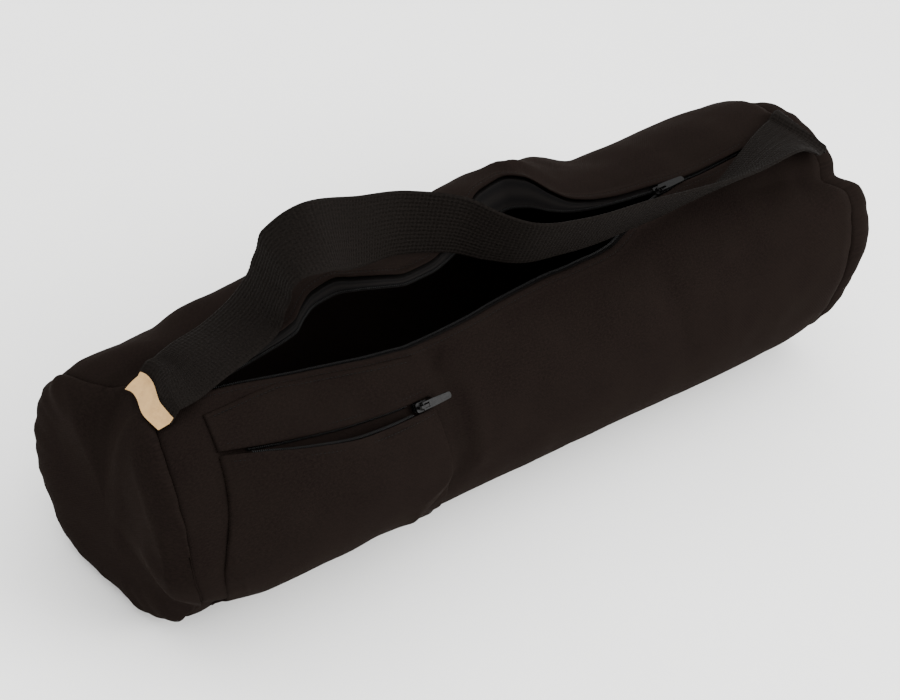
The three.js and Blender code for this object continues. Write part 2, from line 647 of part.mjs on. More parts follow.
// A group whose x runs along the bag's cloth and z away from it, on the middle of the coils at a place
function seat(at, angle, depth) {
  const reach = 0.01;
  const origin = tubePoint(at, angle, depth);
  const along = tubePoint(at + reach, angle, depth).sub(tubePoint(at - reach, angle, depth)).normalize();
  const up = tubePoint(at, angle, -1).sub(tubePoint(at, angle, 1)).normalize();
  const aside = up.clone().cross(along).normalize();
  up.crossVectors(along, aside);
  const group = new THREE.Group();
  group.applyMatrix4(new THREE.Matrix4().makeBasis(along, aside, up).setPosition(origin));
  bag.add(group);
  return group;
}

add('body_shell', bodyShell(), canvas);
add('end_left', endPanel(-1), canvas);
add('end_right', endPanel(1), canvas);
add('strap', strap(), webbing);
add('label', label(), cream);
add('zip_tape_front', zipTape(false), tapeCloth);
add('zip_tape_back', zipTape(true), tapeCloth);
add('pocket_panel', pocketPanel(), canvas);
add('pocket_strip', pocketStrip(), canvas);
add('pocket_tape_upper', pocketTape(true), tapeCloth);
add('pocket_tape_lower', pocketTape(false), tapeCloth);

const zipEdges = slotEdges(SLIDER_AT);
const zipSeat = seat(SLIDER_AT, (zipEdges.front + zipEdges.back) / 2, TAPE_DEPTH);
add('zip_slider', slider(), blackMetal, zipSeat);
add('zip_pull', pull(), blackMetal, zipSeat).position.z = PULL_AXIS;

const mouthUpper = read(MOUTH, 'upper', POCKET_SLIDER);
const mouthAngle = (mouthUpper + read(MOUTH, 'lower', POCKET_SLIDER)) / 2;
const mouthLeft = read(POCKET_SIDES, 'left', mouthAngle);
const mouthRight = read(POCKET_SIDES, 'right', mouthAngle);
const pocketSeat = seat(lerp(mouthLeft, mouthRight, POCKET_SLIDER), mouthAngle, -PATCH_GAP - PLATE_HIGH);
add('pocket_slider', slider(), blackMetal, pocketSeat);
add('pocket_pull', pull(), blackMetal, pocketSeat).position.z = PULL_AXIS;

// The origin is under the middle of the whole bag, pocket included
const whole = new THREE.Box3().setFromObject(bag);
bag.position.y = -(whole.min.y + whole.max.y) / 2;

export default bag;
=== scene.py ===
"""A yoga mat bag of black canvas, lying on its side and part unzipped, with a webbing strap along its top.

Sizes are in millimetres, as they are cut, and become metres where a mesh is made.
X runs along the bag, its pocket is on the -Y side, and it lies on the plane z = 0.
"""
import math

import bmesh
import bpy
import numpy as np
from mathutils import Matrix, Vector, noise


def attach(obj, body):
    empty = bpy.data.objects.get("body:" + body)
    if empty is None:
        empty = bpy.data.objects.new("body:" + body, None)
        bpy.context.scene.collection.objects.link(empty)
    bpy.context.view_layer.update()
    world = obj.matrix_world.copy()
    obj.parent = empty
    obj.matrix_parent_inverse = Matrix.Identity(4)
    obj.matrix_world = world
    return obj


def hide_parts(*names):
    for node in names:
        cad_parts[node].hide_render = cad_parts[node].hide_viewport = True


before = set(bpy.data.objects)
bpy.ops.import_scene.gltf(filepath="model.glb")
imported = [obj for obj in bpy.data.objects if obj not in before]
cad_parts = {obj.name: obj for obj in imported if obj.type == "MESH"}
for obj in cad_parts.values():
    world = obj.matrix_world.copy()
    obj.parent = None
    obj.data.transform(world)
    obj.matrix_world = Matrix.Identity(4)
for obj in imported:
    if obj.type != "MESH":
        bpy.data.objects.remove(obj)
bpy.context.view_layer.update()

MM = 0.001

# Body of the bag
TUBE_LENGTH = 624
TUBE_RADIUS = 98
AXIS_Y = 4.827  # the tube's axis, behind the middle of the whole bag
PRESSED = 0.07  # share of the half height that is pressed flat underneath
FLOOR_ROUND = 4
CLOTH = 1.3
HEM_WIDTH = 6.5  # turned-in canvas along an edge
HEM_RISE = 0.5
SEAM_ROUND = 4.5  # how far from an end seam the canvas begins to roll into it
SEAM_DROP = 3.2
LEFT_DOME = 12  # how far an end panel stands out from its seam
RIGHT_DOME = 28
SEAM_GAP = 0.3

# Strap and label
STRAP_WIDTH = 50
STRAP_THICK = 2.5
RIB_PITCH = 3.1  # from one cross rib of the webbing to the next
STRAND_PITCH = 3.1  # from one lengthwise strand of the webbing to the next
RIB_HEIGHT = 0.7
LAY_GAP = 0.5
LABEL_WIDTH = 48
LABEL_DEEP = 15.5
LABEL_THICK = 0.7
LABEL_OVERLAP = 4
LABEL_LEAN = 0.32
LABEL_SKEW = 0.3  # how much less it hangs over at its front

# Zips
TAPE_DEPTH = 3.6  # the coils' middle under the canvas's outside
TAPE_WIDTH = 14
TAPE_THICK = 0.6
COIL_WIDTH = 2.2
COIL_STEP_OUT = 3.2
COIL_PITCH = 1.4
COIL_WIRE = 0.3  # half the thickness of the nylon

# Pocket
PATCH_CLOTH = 1.1
PATCH_GAP = 0.97
POCKET_DEEP = 13
POCKET_FOOT = -36
POCKET_TAPE = 8
POCKET_STEP_OUT = 0.6
STRIP_LIFT = 3.6
STRIP_MARGIN = 3
STRIP_TOP = 71
TAPE_FROM = 0.12
TAPE_TO = 0.86

# Stitches
STITCH_PITCH = 3.1
STITCH_LENGTH = 2.5
THREAD = 0.28  # half the thread's thickness


def table(columns, *rows):
    """Rows of numbers under named columns."""
    return dict(zip(columns.split(), np.array(rows, float).T))


# Cross-sections: half width and half height as shares of TUBE_RADIUS
SECTIONS = table(
    "at wide tall",
    (-0.5, 0.975, 0.885), (-0.475, 1.01, 0.915), (-0.36, 1.02, 0.94), (-0.15, 1.015, 0.97), (0.05, 1.01, 1.0),
    (0.25, 1.01, 1.045), (0.3, 1.01, 1.049), (0.42, 1.005, 1.085), (0.475, 0.985, 1.08), (0.5, 0.93, 1.04))

# The main zip's slot: angles of its front and back edges (0 front, 90 top, 180 back), and the back one's lift
SLOT = table(
    "at front back lift",
    (-0.449, 83.0, 83.0, 0), (-0.441, 81.8, 84.2, 0), (-0.385, 77.0, 86.0, 0.01), (-0.33, 72.0, 88.5, 0.03),
    (-0.285, 68.5, 91.5, 0.05), (-0.262, 66.8, 97.0, 0.06), (-0.235, 64.8, 102.0, 0.07),
    (-0.205, 63.2, 103.5, 0.08), (-0.18, 62.0, 100.5, 0.06), (-0.15, 62.0, 95.5, 0.05),
    (-0.125, 62.2, 92.5, 0.04), (-0.09, 62.8, 93.0, 0.045), (-0.05, 64.2, 97.0, 0.09),
    (-0.008, 65.2, 104.5, 0.165), (0.032, 65.7, 111.0, 0.215), (0.067, 65.2, 112.5, 0.225),
    (0.09, 65.2, 106.5, 0.2), (0.106, 65.0, 98.0, 0.13), (0.128, 65.5, 92.5, 0.06), (0.162, 69.0, 88.5, 0.02),
    (0.2, 74.5, 86.0, 0), (0.236, 77.7, 84.3, 0), (0.252, 78.3, 83.5, 0), (0.275, 79.9, 82.1, 0),
    (0.393, 80.0, 82.0, 0), (0.401, 81.0, 81.0, 0))
SLOT_FROM, SLOT_TO = SLOT["at"][0], SLOT["at"][-1]
LIP_HELD = 14
LIP_FADE = 58

# Broad folds and dents, each along a line between two places: at and angle, then height (a dent's is
# negative) and reach to each side as shares of TUBE_RADIUS
FOLDS = table(
    "at angle to_at to_angle high reach",
    (-0.5, 112, -0.462, 106, -0.085, 0.2),  # dent behind the label
    (-0.5, -24, -0.44, -34, -0.075, 0.2),  # crumpled lower corner
    (-0.163, 56, -0.148, 6, -0.035, 0.1),  # hollow right of the pocket
    (-0.128, 36, -0.12, 2, 0.022, 0.1),  # roll right of the pocket
    (0.165, 62, 0.225, -4, -0.022, 0.2),  # sag at the middle
    (0.235, 118, 0.2, 150, -0.035, 0.24),  # dip behind the slider
    (0.5, 52, 0.45, 57, -0.05, 0.14),  # tuck at the right seam
    (0.39, 62, 0.45, 66, -0.03, 0.16),  # hollow before the right strap end
    (0.12, 122, 0.195, 143, 0.16, 0.2),  # ridge behind the flap
    (-0.35, 128, -0.24, 132, 0.08, 0.25))  # bulge behind the strap's bend

# Sharp creases in the canvas, in the same columns, with height and reach in millimetres
CREASES = table(
    "at angle to_at to_angle high reach",
    (-0.142, 59, -0.166, 48, -3.2, 4),
    (-0.143, 37, -0.132, 5, -2.2, 5),
    (-0.152, 6, -0.21, -5, 3.2, 7),
    (-0.21, -5, -0.198, -26, 3.2, 7),
    (-0.138, 2, -0.188, -14, -2.6, 6),
    (0.168, 63, 0.225, -2, -1.1, 8),
    (0.34, 64, 0.47, 58, -1.6, 7),
    (0.44, 40, 0.497, 52, 1.8, 6),
    (0.05, 132, 0.2, 120, -1.6, 9),
    (-0.42, 118, -0.36, 150, -2.2, 9),
    (-0.3, 112, -0.23, 128, 1.6, 9),
    (-0.46, 20, -0.44, -20, 1.3, 6),
    (0.3, 100, 0.36, 128, 1.2, 10))

# The strap's middle line from the left seam to the right one: y and height over the round bag as shares of
# TUBE_RADIUS, roll of its width (90 lies flat, 0 stands on edge), and cup, its share of the tube's roundness
STRAP = table(
    "at y over roll cup",
    (-0.4968, -0.06, 0.016, 87.5, 0.9), (-0.484, -0.04, 0.074, 89, 0.7), (-0.468, -0.02, 0.049, 89.5, 0.8),
    (-0.445, 0.015, 0.018, 91, 0.9), (-0.4, 0.08, 0.022, 94.5, 0.9), (-0.36, 0.13, 0.04, 97, 0.9),
    (-0.325, 0.16, 0.135, 97, 0.6), (-0.311, 0.16, 0.36, 94, 0.2), (-0.301, 0.15, 0.58, 82, 0),
    (-0.264, 0.11, 0.66, 56, 0), (-0.194, 0.17, 0.49, 27, 0), (-0.121, 0.2, 0.365, 9, 0),
    (-0.064, 0.04, 0.3, 3, 0), (-0.03, -0.14, 0.24, -7, 0), (0.006, -0.3, 0.24, -15, 0),
    (0.061, -0.4, 0.27, -19, 0), (0.136, -0.47, 0.305, -23, 0), (0.221, -0.5, 0.285, -31, 0),
    (0.303, -0.5, 0.265, -42, 0), (0.385, -0.4, 0.23, -62, 0.2), (0.442, -0.3, 0.11, -86, 0.6),
    (0.47, -0.25, 0.055, -97, 0.9), (0.484, -0.22, 0.09, -101, 0.9), (0.4968, -0.2, 0.045, -102, 1))

# Pocket outline by angle, and the angles of its mouth's two lips by share across it
POCKET_SIDES = table(
    "at left right",
    (-36, -0.47, -0.152), (-5, -0.468, -0.158), (15, -0.462, -0.166), (36, -0.452, -0.178),
    (54, -0.447, -0.181), (80, -0.443, -0.184))
MOUTH = table(
    "at upper lower",
    (0, 55.2, 53.6), (0.15, 51.3, 48.6), (0.35, 47.4, 43.0), (0.6, 43.6, 38.4), (0.87, 41.6, 36.9),
    (0.97, 41.4, 36.7), (1, 39.4, 37.9))

# An end panel from its seam to its middle: share of the section and standing out, as a share of its dome
END_PROFILE = table(
    "at share out",
    (0, 0.967, 0.0), (0.025, 0.985, 0.08), (0.06, 0.991, 0.26), (0.12, 0.972, 0.56), (0.24, 0.9, 0.88),
    (0.45, 0.72, 1.0), (0.75, 0.36, 0.86), (1, 0, 0.72))

# How far each end seam strays from its plane towards +X, by angle, in millimetres
SEAM_LEFT = table(
    "at shift",
    (-180, 4), (-120, 7), (-60, 14), (-24, 12), (11, -8), (40, -5), (62, 0), (80, 9), (98, 24), (108, 14),
    (118, 2), (127, -3), (150, 0), (180, 4))
SEAM_RIGHT = table(
    "at shift",
    (-180, 0), (-30, 3), (4, 8), (29, 13), (44, 15), (56, -5), (66, -3), (82, -7), (100, -3), (125, 3),
    (150, 4), (180, 0))
SEAM_REACH = 60  # how far into the tube the strays die away


def read(rows, column, at):
    """A table's column anywhere between its rows, on a smooth curve that never overshoots a row."""
    x, y = rows["at"], rows[column]
    slope = np.diff(y) / np.diff(x)
    before, after = slope[:-1], slope[1:]
    total = np.where(before + after == 0, 1, before + after)
    middle = np.where(before * after > 0, 2 * before * after / total, 0)
    tangent = np.concatenate([slope[:1], middle, slope[-1:]])
    i = np.clip(np.searchsorted(x, at, side="right") - 1, 0, len(x) - 2)
    step = x[i + 1] - x[i]
    t = np.clip((at - x[i]) / step, 0, 1)
    hermite = tangent[i] * t * (1 - t) ** 2 - tangent[i + 1] * t * t * (1 - t)
    return y[i] + (y[i + 1] - y[i]) * t * t * (3 - 2 * t) + step * hermite


def smooth_fall(t):
    """1 up to t = 0, falling softly to 0 at t = 1."""
    s = np.clip(t, 0, 1)
    return 1 - s * s * (3 - 2 * s)


def near(angle, other):
    """An angle brought within half a turn of another."""
    return angle - 360 * np.round((angle - other) / 360)


def arc_degrees(length):
    return math.degrees(length / TUBE_RADIUS)


def cloth_noise(points, wave, seed):
    """Smooth noise at each point, between about -1 and 1, with waves about wave millimetres long."""
    places = (points.reshape(-1, 3) / wave + seed).tolist()
    return np.array([noise.noise(place) for place in places]).reshape(points.shape[:-1]) * 1.6


def slot_edges(at):
    inside = np.clip(at, SLOT_FROM, SLOT_TO)
    return read(SLOT, "front", inside), read(SLOT, "back", inside)


def line_distance(at, angle, line):
    """Distance in millimetres from a line on the tube, and the share along it, 0 to 1."""
    along_x = (line["to_at"] - line["at"]) * TUBE_LENGTH
    around = np.radians(line["to_angle"] - line["angle"]) * TUBE_RADIUS
    dx = (at - line["at"]) * TUBE_LENGTH
    ds = np.radians(near(angle, line["angle"]) - line["angle"]) * TUBE_RADIUS
    share = np.clip((dx * along_x + ds * around) / (along_x**2 + around**2), 0, 1)
    return np.hypot(dx - share * along_x, ds - share * around), share


def rows_of(lines):
    return [{key: column[i] for key, column in lines.items()} for i in range(len(lines["high"]))]


def relief(at, angle):
    """How far the canvas stands off the plain round, in millimetres."""
    back = read(SLOT, "back", np.clip(at, SLOT_FROM, SLOT_TO))
    lift = np.where((at > SLOT_FROM) & (at < SLOT_TO), read(SLOT, "lift", at), 0)
    behind = near(angle, back + 90) - back
    out = lift * TUBE_RADIUS * np.where(behind < -1, 0, smooth_fall((behind - LIP_HELD) / LIP_FADE))
    for fold in rows_of(FOLDS):
        away, _ = line_distance(at, angle, fold)
        out = out + fold["high"] * TUBE_RADIUS * np.exp(-(away / (fold["reach"] * TUBE_RADIUS)) ** 2)
    return out


def creases(at, angle):
    """Sharp creases, fine puckers at the end seams and a slow unevenness, in millimetres."""
    out = np.zeros(np.broadcast(at, angle).shape)
    for crease in rows_of(CREASES):
        away, share = line_distance(at, angle, crease)
        ends = np.sin(math.pi * np.clip(share, 0.03, 0.97)) ** 0.6
        out += crease["high"] * ends * np.exp(-np.sqrt((away / crease["reach"]) ** 2 + 0.05) + 0.22)
    turn = np.radians(angle)
    x = at * TUBE_LENGTH + 0 * turn
    place = np.stack([x, TUBE_RADIUS * np.cos(turn), TUBE_RADIUS * np.sin(turn)], -1)
    from_end = (0.5 - np.abs(at)) * TUBE_LENGTH
    out += 1.5 * cloth_noise(place * (0.5, 1, 1), 70, 3.1)
    out += 0.55 * cloth_noise(place * (1, 0.6, 0.6), 26, 8.7)
    pucker = cloth_noise(place * (0.22, 1, 1), 11, 21.3)
    out += 1.1 * pucker * np.exp(-from_end / 16) + 0.12 * pucker
    return out


def seam_stray(at, angle):
    """How far a place moves along the bag with the end seam nearest to it."""
    turned = near(angle, 0)
    left = read(SEAM_LEFT, "shift", turned) * smooth_fall((0.5 + at) * TUBE_LENGTH / SEAM_REACH)
    return left + read(SEAM_RIGHT, "shift", turned) * smooth_fall((0.5 - at) * TUBE_LENGTH / SEAM_REACH)


def strayed(points):
    """Points over the bag, moved along it with its end seams."""
    at = points[..., 0] / TUBE_LENGTH
    middle = (1 - PRESSED) * read(SECTIONS, "tall", at) * TUBE_RADIUS
    angle = np.degrees(np.arctan2(points[..., 2] - middle, AXIS_Y - points[..., 1]))
    moved = points.copy()
    moved[..., 0] += seam_stray(at, angle)
    return moved


def settle(height):
    """Height above the floor, with a soft turn where the canvas meets it."""
    turned = (height + FLOOR_ROUND) ** 2 / (4 * FLOOR_ROUND)
    return np.where(height >= FLOOR_ROUND, height, np.where(height <= -FLOOR_ROUND, 0, turned))


def tube_point(at, angle, off=0.0):
    """A point of the bag at a share along it and an angle, so far off its plain form."""
    at, angle, off = np.broadcast_arrays(at, angle, off)
    half_wide = read(SECTIONS, "wide", at) * TUBE_RADIUS
    half_tall = read(SECTIONS, "tall", at) * TUBE_RADIUS
    cos, sin = np.cos(np.radians(angle)), np.sin(np.radians(angle))
    normal_y, normal_z = cos / half_wide, sin / half_tall
    size = np.hypot(normal_y, normal_z)
    out = relief(at, angle) + off
    floor = np.maximum(0, -off)
    height = (1 - PRESSED) * half_tall + half_tall * sin + normal_z / size * out
    y = AXIS_Y - (half_wide * cos + normal_y / size * out)
    return np.stack([at * TUBE_LENGTH + seam_stray(at, angle), y, floor + settle(height - floor)], -1)


# Materials

def linear(colour):
    """An sRGB hex colour as the linear RGBA that Blender's sockets hold."""
    parts = [int(colour[i:i + 2], 16) / 255 for i in (1, 3, 5)]
    return [p / 12.92 if p <= 0.04045 else ((p + 0.055) / 1.055) ** 2.4 for p in parts] + [1]


def add_node(tree, kind, inputs=None, **settings):
    """Adds a node with its settings; each input takes a value or another node's output."""
    made = tree.nodes.new(kind)
    for name, value in settings.items():
        setattr(made, name, value)
    for socket, value in (inputs or {}).items():
        if isinstance(value, bpy.types.NodeSocket):
            tree.links.new(value, made.inputs[socket])
        else:
            made.inputs[socket].default_value = value
    return made


WAVE_PERIOD = 2 * math.pi / 20  # of Blender's band texture at scale 1


def new_material(name):
    """A material with an empty shader, and its cloth coordinates in millimetres."""
    material = bpy.data.materials.new(name)
    material.use_nodes = True
    tree = material.node_tree
    shader = tree.nodes["Principled BSDF"]
    place = add_node(tree, "ShaderNodeTexCoord").outputs["UV"]
    cloth = add_node(tree, "ShaderNodeMapping", {"Vector": place, "Scale": (1 / MM, 1 / MM, 1 / MM)})
    return material, tree, shader, cloth.outputs["Vector"]


def dress(shader, **values):
    """Sets numbers that are the same all over the surface on the shader's own sockets."""
    for name, value in values.items():
        shader.inputs[name.replace("_", " ")].default_value = value


def woven(tree, cloth, thread):
    """Height of a plain weave, with threads so many millimetres apart."""
    bands = [
        add_node(tree, "ShaderNodeTexWave", {"Vector": cloth, "Scale": WAVE_PERIOD / thread / 2,
                                             "Distortion": 0.5,
                                             "Detail": 2.0, "Detail Scale": 0.6},
                 bands_direction=direction).outputs["Fac"] for direction in "XY"]
    spread = [add_node(tree, "ShaderNodeMath", {0: band, 1: 0.5},
                       operation="SUBTRACT").outputs[0] for band in bands]
    crossed = add_node(tree, "ShaderNodeMath", {0: spread[0], 1: spread[1]}, operation="MULTIPLY").outputs[0]
    return add_node(tree, "ShaderNodeMath", {0: crossed, 1: 2.0, 2: 0.5}, operation="MULTIPLY_ADD").outputs[0]


def speckle(tree, cloth, size, detail=4.0):
    """Even noise with spots so many millimetres across."""
    return add_node(tree, "ShaderNodeTexNoise", {"Vector": cloth, "Scale": 1 / size, "Detail": detail,
                                                 "Roughness": 0.6}).outputs["Fac"]


def mixed(tree, factor, first, second):
    """A colour between two, by a factor."""
    return add_node(tree, "ShaderNodeMix", {"Factor": factor, "A": first, "B": second},
                    data_type="RGBA").outputs["Result"]


def ramp(tree, factor, low, high, to_low=0.0, to_high=1.0):
    """A factor stretched from one range to another."""
    return add_node(tree, "ShaderNodeMapRange", {"Value": factor, "From Min": low, "From Max": high,
                                                 "To Min": to_low, "To Max": to_high}).outputs["Result"]


def canvas_material():
    # Cotton duck canvas, plain woven and piece dyed black. The dye leaves it a brownish black that is
    # matt head on and shows a pale brown bloom of fibre ends where it turns away from the eye.
    material, tree, shader, cloth = new_material("canvas_cotton_duck")
    slow = ramp(tree, speckle(tree, cloth, 45), 0.3, 0.7)
    slub = add_node(tree, "ShaderNodeMapping", {"Vector": cloth, "Scale": (0.6, 1.0, 1)}).outputs["Vector"]
    yarn = ramp(tree, speckle(tree, slub, 1.3, 2.0), 0.35, 0.75)
    ground = mixed(tree, slow, linear("#0e0a09"), linear("#120e0c"))
    colour = mixed(tree, yarn, ground, linear("#15100e"))
    # The real threads are 0.5 mm apart; they are drawn at 1.1 mm so that the weave shows
    weave = woven(tree, cloth, 1.1)
    fuzz = speckle(tree, cloth, 0.8, 3.0)
    height = add_node(tree, "ShaderNodeMath", {0: fuzz, 1: 0.3, 2: weave},
                      operation="MULTIPLY_ADD").outputs[0]
    bump = add_node(tree, "ShaderNodeBump", {"Height": height, "Strength": 0.4, "Distance": 0.2 * MM})
    tree.links.new(colour, shader.inputs["Base Color"])
    tree.links.new(ramp(tree, fuzz, 0.3, 0.7, 0.9, 1.0), shader.inputs["Roughness"])
    tree.links.new(bump.outputs["Normal"], shader.inputs["Normal"])
    dress(shader, IOR=1.5, Metallic=0.0, Sheen_Weight=0.01, Sheen_Roughness=0.5, Sheen_Tint=linear("#b08a6c"),
          Specular_IOR_Level=0.01)
    return material


def webbing_material():
    # Heavy cotton webbing, woven in cross ribs and dyed a neutral black, softer and furrier than the canvas
    material, tree, shader, cloth = new_material("webbing_heavy_cotton")
    yarn = ramp(tree, speckle(tree, cloth, 1.4, 3.0), 0.3, 0.7)
    colour = mixed(tree, yarn, linear("#080605"), linear("#13100e"))
    strands = add_node(tree, "ShaderNodeTexWave", {"Vector": cloth, "Scale": WAVE_PERIOD / STRAND_PITCH,
                                                   "Distortion": 0.6,
                                                   "Detail": 1.0}, bands_direction="Y").outputs["Fac"]
    height = add_node(tree, "ShaderNodeMath", {0: yarn, 1: 0.3, 2: strands},
                      operation="MULTIPLY_ADD").outputs[0]
    bump = add_node(tree, "ShaderNodeBump", {"Height": height, "Strength": 0.8, "Distance": 0.7 * MM})
    tree.links.new(colour, shader.inputs["Base Color"])
    tree.links.new(bump.outputs["Normal"], shader.inputs["Normal"])
    dress(shader, IOR=1.5, Metallic=0.0, Roughness=0.88, Sheen_Weight=0.01, Sheen_Roughness=0.5,
          Sheen_Tint=linear("#7a6c60"), Specular_IOR_Level=0.04)
    return material


def label_material():
    # Cream cotton twill tape, woven and heat cut, a little yellowed along its cut edges
    material, tree, shader, cloth = new_material("label_cotton_twill")
    stain = ramp(tree, speckle(tree, cloth, 9), 0.35, 0.75)
    colour = mixed(tree, stain, linear("#ad8a58"), linear("#967549"))
    weave = woven(tree, cloth, 0.7)
    bump = add_node(tree, "ShaderNodeBump", {"Height": weave, "Strength": 0.4, "Distance": 0.15 * MM})
    tree.links.new(colour, shader.inputs["Base Color"])
    tree.links.new(bump.outputs["Normal"], shader.inputs["Normal"])
    dress(shader, IOR=1.5, Metallic=0.0, Roughness=0.85, Sheen_Weight=0.1, Sheen_Tint=linear("#fff6e0"))
    return material


def tape_material():
    # Knitted polyester zip tape, dyed black: fine lengthwise wales with a faint silky gloss
    material, tree, shader, cloth = new_material("zip_tape_knit")
    wales = add_node(tree, "ShaderNodeTexWave", {"Vector": cloth, "Scale": WAVE_PERIOD / 0.9,
                                                 "Distortion": 0.4},
                     bands_direction="Y").outputs["Fac"]
    colour = mixed(tree, wales, linear("#070606"), linear("#0f0d0c"))
    bump = add_node(tree, "ShaderNodeBump", {"Height": wales, "Strength": 0.5, "Distance": 0.2 * MM})
    tree.links.new(colour, shader.inputs["Base Color"])
    tree.links.new(bump.outputs["Normal"], shader.inputs["Normal"])
    dress(shader, IOR=1.55, Metallic=0.0, Roughness=0.75, Specular_IOR_Level=0.04)
    return material


def coil_material():
    # Nylon monofilament, extruded and wound into the zip's coil: smooth and glossy, with bright fine glints
    material, tree, shader, cloth = new_material("coil_black_nylon")
    rub = ramp(tree, speckle(tree, cloth, 5), 0.3, 0.7, 0.28, 0.4)
    tree.links.new(rub, shader.inputs["Roughness"])
    dress(shader, Base_Color=linear("#070707"), IOR=1.53, Metallic=0.0, Specular_IOR_Level=0.16)
    return material


def thread_material():
    # Spun polyester sewing thread, black, twisted: a little glossier than the canvas it sinks into
    material, tree, shader, cloth = new_material("thread_spun_polyester")
    twist = add_node(tree, "ShaderNodeTexWave", {"Vector": cloth, "Scale": WAVE_PERIOD / 0.6,
                                                 "Distortion": 0.3},
                     bands_direction="DIAGONAL").outputs["Fac"]
    tree.links.new(mixed(tree, twist, linear("#090807"), linear("#110f0e")), shader.inputs["Base Color"])
    dress(shader, IOR=1.55, Metallic=0.0, Roughness=0.7, Specular_IOR_Level=0.06)
    return material


def slider_material():
    # Zinc casting, tumbled and black enamelled: a smooth dull skin, a little rubbed in spots
    material, tree, shader, _ = new_material("slider_enamelled_zinc")
    spots = add_node(tree, "ShaderNodeTexCoord").outputs["Object"]
    wear = ramp(tree, speckle(tree, spots, 1.2 * MM), 0.35, 0.7)
    tree.links.new(mixed(tree, wear, linear("#060606"), linear("#0d0c0c")), shader.inputs["Base Color"])
    tree.links.new(ramp(tree, wear, 0, 1, 0.3, 0.45), shader.inputs["Roughness"])
    dress(shader, Metallic=0.0, Specular_IOR_Level=0.1)
    return material


def floor_material():
    # Matt seamless studio paper, near white
    material, tree, shader, _ = new_material("studio_paper")
    place = add_node(tree, "ShaderNodeTexCoord").outputs["Object"]
    grain = ramp(tree, speckle(tree, place, 0.4), 0.3, 0.7)
    tree.links.new(mixed(tree, grain, linear("#f6f6f4"), linear("#fafaf9")), shader.inputs["Base Color"])
    dress(shader, Roughness=0.95, Specular_IOR_Level=0.1)
    return material


CANVAS = canvas_material()
WEBBING = webbing_material()
LABEL_CLOTH = label_material()
TAPE_KNIT = tape_material()
NYLON = coil_material()
SEWING_THREAD = thread_material()
ENAMEL = slider_material()


# Meshes

def grid_faces(rows, columns, ring=False):
    """Four-sided faces of a grid of points, whose columns may close into a ring."""
    i = np.arange(rows - 1)[:, None]
    j = np.arange(columns if ring else columns - 1)[None, :]
    after = (j + 1) % columns
    corners = [i * columns + j, i * columns + after, (i + 1) * columns + after, (i + 1) * columns + j]
    return np.stack(corners, -1).reshape(-1, 4)


def make_piece(name, points, faces, cloth, material, nodes=(), body="bag"):
    """A smooth mesh in millimetres, with its place on the flat cloth, that rides on a body."""
    mesh = bpy.data.meshes.new(name)
    mesh.from_pydata((points.reshape(-1, 3) * MM).tolist(), [], faces.tolist())
    layer = mesh.uv_layers.new(name="cloth")
    corners = np.empty(len(mesh.loops), dtype=np.int32)
    mesh.loops.foreach_get("vertex_index", corners)
    layer.data.foreach_set("uv", (cloth.reshape(-1, 2)[corners] * MM).ravel().astype(np.float32))
    mesh.polygons.foreach_set("use_smooth", np.ones(len(mesh.polygons), dtype=bool))
    mesh.materials.append(material)
    piece = bpy.data.objects.new(name, mesh)
    bpy.context.collection.objects.link(piece)
    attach(piece, body)
    if nodes:
        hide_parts(*nodes)
    return piece


def weld(piece):
    """Joins points that lie in one place."""
    shape = bmesh.new()
    shape.from_mesh(piece.data)
    bmesh.ops.remove_doubles(shape, verts=shape.verts, dist=0.01 * MM)
    shape.to_mesh(piece.data)
    shape.free()


def thicken(piece, thickness):
    """Gives a single sheet its thickness, inwards from its outer face."""
    solid = piece.modifiers.new("cloth", "SOLIDIFY")
    solid.thickness = thickness * MM
    solid.offset = -1
    solid.use_even_offset = False
    solid.use_rim = True


def hem(from_edge):
    """Rise of a turned-in edge over the single cloth, with the groove of its line of stitches."""
    rise = HEM_RISE * smooth_fall((from_edge - HEM_WIDTH) / 1.6)
    roll = -0.8 * smooth_fall(from_edge / 1.6)
    groove = -0.45 * np.exp(-((from_edge - HEM_WIDTH + 2) / 0.9) ** 2)
    return rise + roll + groove


def seam_roll(from_seam):
    """Fall of the canvas as it rolls into an end seam."""
    t = np.clip(1 - from_seam / SEAM_ROUND, 0, 1)
    return -SEAM_DROP * (1 - np.sqrt(1 - t * t))


# Shell and ends

SHELL_COLUMNS = 206
SHELL_RINGS = 176


def shell_columns():
    even = np.linspace(-0.5, 0.5, SHELL_COLUMNS)
    from_seam = (0.4, 1.0, 1.8, 2.8, 4.2)
    rolled = np.concatenate([[0.5 - d / TUBE_LENGTH, d / TUBE_LENGTH - 0.5] for d in from_seam])
    columns = np.unique(np.concatenate([even, rolled, [SLOT_FROM, SLOT_TO]]).round(5))
    keep = [columns[0]]
    for at in columns[1:]:
        if at - keep[-1] > 0.0005 or at in (SLOT_FROM, SLOT_TO):
            keep.append(at)
    return np.array(keep)


def shell_off(at, angle, from_front, from_back):
    """Everything that stands off the plain form on the shell: hems, creases and the roll into the seams."""
    from_end = (0.5 - np.abs(at)) * TUBE_LENGTH
    open_here = (at > SLOT_FROM) & (at < SLOT_TO)
    from_edge = np.where(open_here, np.minimum(from_front, from_back), HEM_WIDTH * 3)
    calm = 1 - 0.75 * smooth_fall(from_edge / 12)
    return creases(at, angle) * calm + seam_roll(from_end) + np.where(open_here, hem(from_edge), 0)


